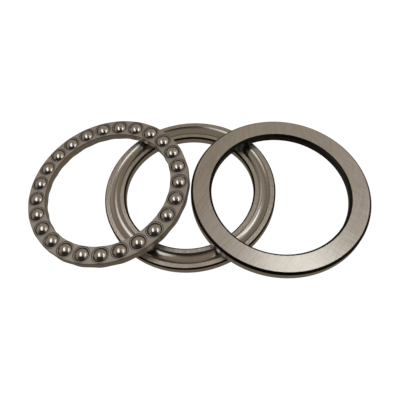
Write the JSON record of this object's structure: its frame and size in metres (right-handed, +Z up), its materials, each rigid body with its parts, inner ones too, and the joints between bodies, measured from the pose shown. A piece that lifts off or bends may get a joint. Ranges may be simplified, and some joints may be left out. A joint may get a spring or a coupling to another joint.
{
  "type": "thrust ball bearing",
  "caption": "Single-direction thrust ball bearing laid open: a grooved shaft washer, caged balls and a grooved housing washer, turning together.",
  "frame": {"origin": "centre of the shaft washer's back face, on the floor it lies on", "axes": "+Z up along the shaft washer's axis; +X towards the side where the housing washer leans on it, -X towards the caged balls"},
  "size_m": [0.2383, 0.123, 0.0214],
  "materials": {
    "washer_steel": "ground faces, polished raceway",
    "cage_steel": "matt warm grey pressed sheet",
    "ball_steel": "polished"
  },
  "bodies": {
    "shaft_washer": {"shaft_washer": "washer_steel"},
    "housing_washer": {"housing_washer": "washer_steel"},
    "cage": {"cage": "cage_steel"},
    "ball_01": {"ball_01": "ball_steel"},
    "ball_02": {"ball_02": "ball_steel"},
    "ball_03": {"ball_03": "ball_steel"},
    "ball_04": {"ball_04": "ball_steel"},
    "ball_05": {"ball_05": "ball_steel"},
    "ball_06": {"ball_06": "ball_steel"},
    "ball_07": {"ball_07": "ball_steel"},
    "ball_08": {"ball_08": "ball_steel"},
    "ball_09": {"ball_09": "ball_steel"},
    "ball_10": {"ball_10": "ball_steel"},
    "ball_11": {"ball_11": "ball_steel"},
    "ball_12": {"ball_12": "ball_steel"},
    "ball_13": {"ball_13": "ball_steel"},
    "ball_14": {"ball_14": "ball_steel"},
    "ball_15": {"ball_15": "ball_steel"},
    "ball_16": {"ball_16": "ball_steel"},
    "ball_17": {"ball_17": "ball_steel"},
    "ball_18": {"ball_18": "ball_steel"},
    "ball_19": {"ball_19": "ball_steel"},
    "ball_20": {"ball_20": "ball_steel"},
    "ball_21": {"ball_21": "ball_steel"},
    "ball_22": {"ball_22": "ball_steel"},
    "ball_23": {"ball_23": "ball_steel"},
    "ball_24": {"ball_24": "ball_steel"},
    "ball_25": {"ball_25": "ball_steel"}
  },
  "joints": [
    {"name": "housing_spin", "type": "hinge", "parent": "shaft_washer", "child": "housing_washer", "pos_m": [0.0624, -0.003, 0.00879], "axis": [0.0898, 0, 0.996], "continuous": true},
    {"name": "cage_spin", "type": "hinge", "parent": "shaft_washer", "child": "cage", "pos_m": [-0.05711, -0.003, 0.01074], "axis": [-0.0978, 0, 0.9952], "continuous": true},
    {"name": "ball_01_spin", "type": "hinge", "parent": "cage", "child": "ball_01", "pos_m": [-0.00488, -0.00144, 0.01588], "axis": [0.9948, 0.0297, 0.0978], "continuous": true},
    {"name": "ball_02_spin", "type": "hinge", "parent": "cage", "child": "ball_02", "pos_m": [-0.00691, 0.01156, 0.01568], "axis": [0.9562, 0.2773, 0.094], "continuous": true},
    {"name": "ball_03_spin", "type": "hinge", "parent": "cage", "child": "ball_03", "pos_m": [-0.01209, 0.02365, 0.01517], "axis": [0.8575, 0.5075, 0.0843], "continuous": true},
    {"name": "ball_04_spin", "type": "hinge", "parent": "cage", "child": "ball_04", "pos_m": [-0.0201, 0.03406, 0.01438], "axis": [0.7049, 0.7059, 0.0693], "continuous": true},
    {"name": "ball_05_spin", "type": "hinge", "parent": "cage", "child": "ball_05", "pos_m": [-0.03043, 0.04214, 0.01336], "axis": [0.5081, 0.8599, 0.0499], "continuous": true},
    {"name": "ball_06_spin", "type": "hinge", "parent": "cage", "child": "ball_06", "pos_m": [-0.04244, 0.04739, 0.01218], "axis": [0.2793, 0.9598, 0.0275], "continuous": true},
    {"name": "ball_07_spin", "type": "hinge", "parent": "cage", "child": "ball_07", "pos_m": [-0.05537, 0.04947, 0.01091], "axis": [0.033, 0.9995, 0.0032], "continuous": true},
    {"name": "ball_08_spin", "type": "hinge", "parent": "cage", "child": "ball_08", "pos_m": [-0.06841, 0.04826, 0.00963], "axis": [-0.2154, 0.9763, -0.0212], "continuous": true},
    {"name": "ball_09_spin", "type": "hinge", "parent": "cage", "child": "ball_09", "pos_m": [-0.08074, 0.04382, 0.00842], "axis": [-0.4503, 0.8918, -0.0443], "continuous": true},
    {"name": "ball_10_spin", "type": "hinge", "parent": "cage", "child": "ball_10", "pos_m": [-0.09159, 0.03644, 0.00735], "axis": [-0.6568, 0.7513, -0.0646], "continuous": true},
    {"name": "ball_11_spin", "type": "hinge", "parent": "cage", "child": "ball_11", "pos_m": [-0.10027, 0.02659, 0.0065], "axis": [-0.8221, 0.5635, -0.0808], "continuous": true},
    {"name": "ball_12_spin", "type": "hinge", "parent": "cage", "child": "ball_12", "pos_m": [-0.10623, 0.01487, 0.00591], "axis": [-0.9358, 0.3404, -0.092], "continuous": true},
    {"name": "ball_13_spin", "type": "hinge", "parent": "cage", "child": "ball_13", "pos_m": [-0.10911, 0.00203, 0.00563], "axis": [-0.9906, 0.0958, -0.0974], "continuous": true},
    {"name": "ball_14_spin", "type": "hinge", "parent": "cage", "child": "ball_14", "pos_m": [-0.10873, -0.01112, 0.00567], "axis": [-0.9832, -0.1547, -0.0966], "continuous": true},
    {"name": "ball_15_spin", "type": "hinge", "parent": "cage", "child": "ball_15", "pos_m": [-0.10509, -0.02377, 0.00602], "axis": [-0.914, -0.3955, -0.0898], "continuous": true},
    {"name": "ball_16_spin", "type": "hinge", "parent": "cage", "child": "ball_16", "pos_m": [-0.09845, -0.03511, 0.00668], "axis": [-0.7874, -0.6115, -0.0774], "continuous": true},
    {"name": "ball_17_spin", "type": "hinge", "parent": "cage", "child": "ball_17", "pos_m": [-0.0892, -0.04443, 0.00759], "axis": [-0.6113, -0.7891, -0.0601], "continuous": true},
    {"name": "ball_18_spin", "type": "hinge", "parent": "cage", "child": "ball_18", "pos_m": [-0.07794, -0.05115, 0.00869], "axis": [-0.3968, -0.9171, -0.039], "continuous": true},
    {"name": "ball_19_spin", "type": "hinge", "parent": "cage", "child": "ball_19", "pos_m": [-0.06537, -0.05484, 0.00993], "axis": [-0.1574, -0.9874, -0.0155], "continuous": true},
    {"name": "ball_20_spin", "type": "hinge", "parent": "cage", "child": "ball_20", "pos_m": [-0.05228, -0.05528, 0.01122], "axis": [0.0919, -0.9957, 0.009], "continuous": true},
    {"name": "ball_21_spin", "type": "hinge", "parent": "cage", "child": "ball_21", "pos_m": [-0.03949, -0.05243, 0.01247], "axis": [0.3355, -0.9415, 0.033], "continuous": true},
    {"name": "ball_22_spin", "type": "hinge", "parent": "cage", "child": "ball_22", "pos_m": [-0.02781, -0.04647, 0.01362], "axis": [0.5579, -0.8281, 0.0548], "continuous": true},
    {"name": "ball_23_spin", "type": "hinge", "parent": "cage", "child": "ball_23", "pos_m": [-0.01797, -0.03779, 0.01459], "axis": [0.7454, -0.6626, 0.0733], "continuous": true},
    {"name": "ball_24_spin", "type": "hinge", "parent": "cage", "child": "ball_24", "pos_m": [-0.01059, -0.02692, 0.01531], "axis": [0.8859, -0.4555, 0.0871], "continuous": true},
    {"name": "ball_25_spin", "type": "hinge", "parent": "cage", "child": "ball_25", "pos_m": [-0.00614, -0.01454, 0.01575], "axis": [0.9709, -0.2198, 0.0954], "continuous": true}
  ],
  "couplings": [
    {"joint": "cage_spin", "follows": "housing_spin", "ratio": 0.5},
    {"joint": "ball_01_spin", "follows": "housing_spin", "ratio": -4.7246},
    {"joint": "ball_02_spin", "follows": "housing_spin", "ratio": -4.7246},
    {"joint": "ball_03_spin", "follows": "housing_spin", "ratio": -4.7246},
    {"joint": "ball_04_spin", "follows": "housing_spin", "ratio": -4.7246},
    {"joint": "ball_05_spin", "follows": "housing_spin", "ratio": -4.7246},
    {"joint": "ball_06_spin", "follows": "housing_spin", "ratio": -4.7246},
    {"joint": "ball_07_spin", "follows": "housing_spin", "ratio": -4.7246},
    {"joint": "ball_08_spin", "follows": "housing_spin", "ratio": -4.7246},
    {"joint": "ball_09_spin", "follows": "housing_spin", "ratio": -4.7246},
    {"joint": "ball_10_spin", "follows": "housing_spin", "ratio": -4.7246},
    {"joint": "ball_11_spin", "follows": "housing_spin", "ratio": -4.7246},
    {"joint": "ball_12_spin", "follows": "housing_spin", "ratio": -4.7246},
    {"joint": "ball_13_spin", "follows": "housing_spin", "ratio": -4.7246},
    {"joint": "ball_14_spin", "follows": "housing_spin", "ratio": -4.7246},
    {"joint": "ball_15_spin", "follows": "housing_spin", "ratio": -4.7246},
    {"joint": "ball_16_spin", "follows": "housing_spin", "ratio": -4.7246},
    {"joint": "ball_17_spin", "follows": "housing_spin", "ratio": -4.7246},
    {"joint": "ball_18_spin", "follows": "housing_spin", "ratio": -4.7246},
    {"joint": "ball_19_spin", "follows": "housing_spin", "ratio": -4.7246},
    {"joint": "ball_20_spin", "follows": "housing_spin", "ratio": -4.7246},
    {"joint": "ball_21_spin", "follows": "housing_spin", "ratio": -4.7246},
    {"joint": "ball_22_spin", "follows": "housing_spin", "ratio": -4.7246},
    {"joint": "ball_23_spin", "follows": "housing_spin", "ratio": -4.7246},
    {"joint": "ball_24_spin", "follows": "housing_spin", "ratio": -4.7246},
    {"joint": "ball_25_spin", "follows": "housing_spin", "ratio": -4.7246}
  ]
}
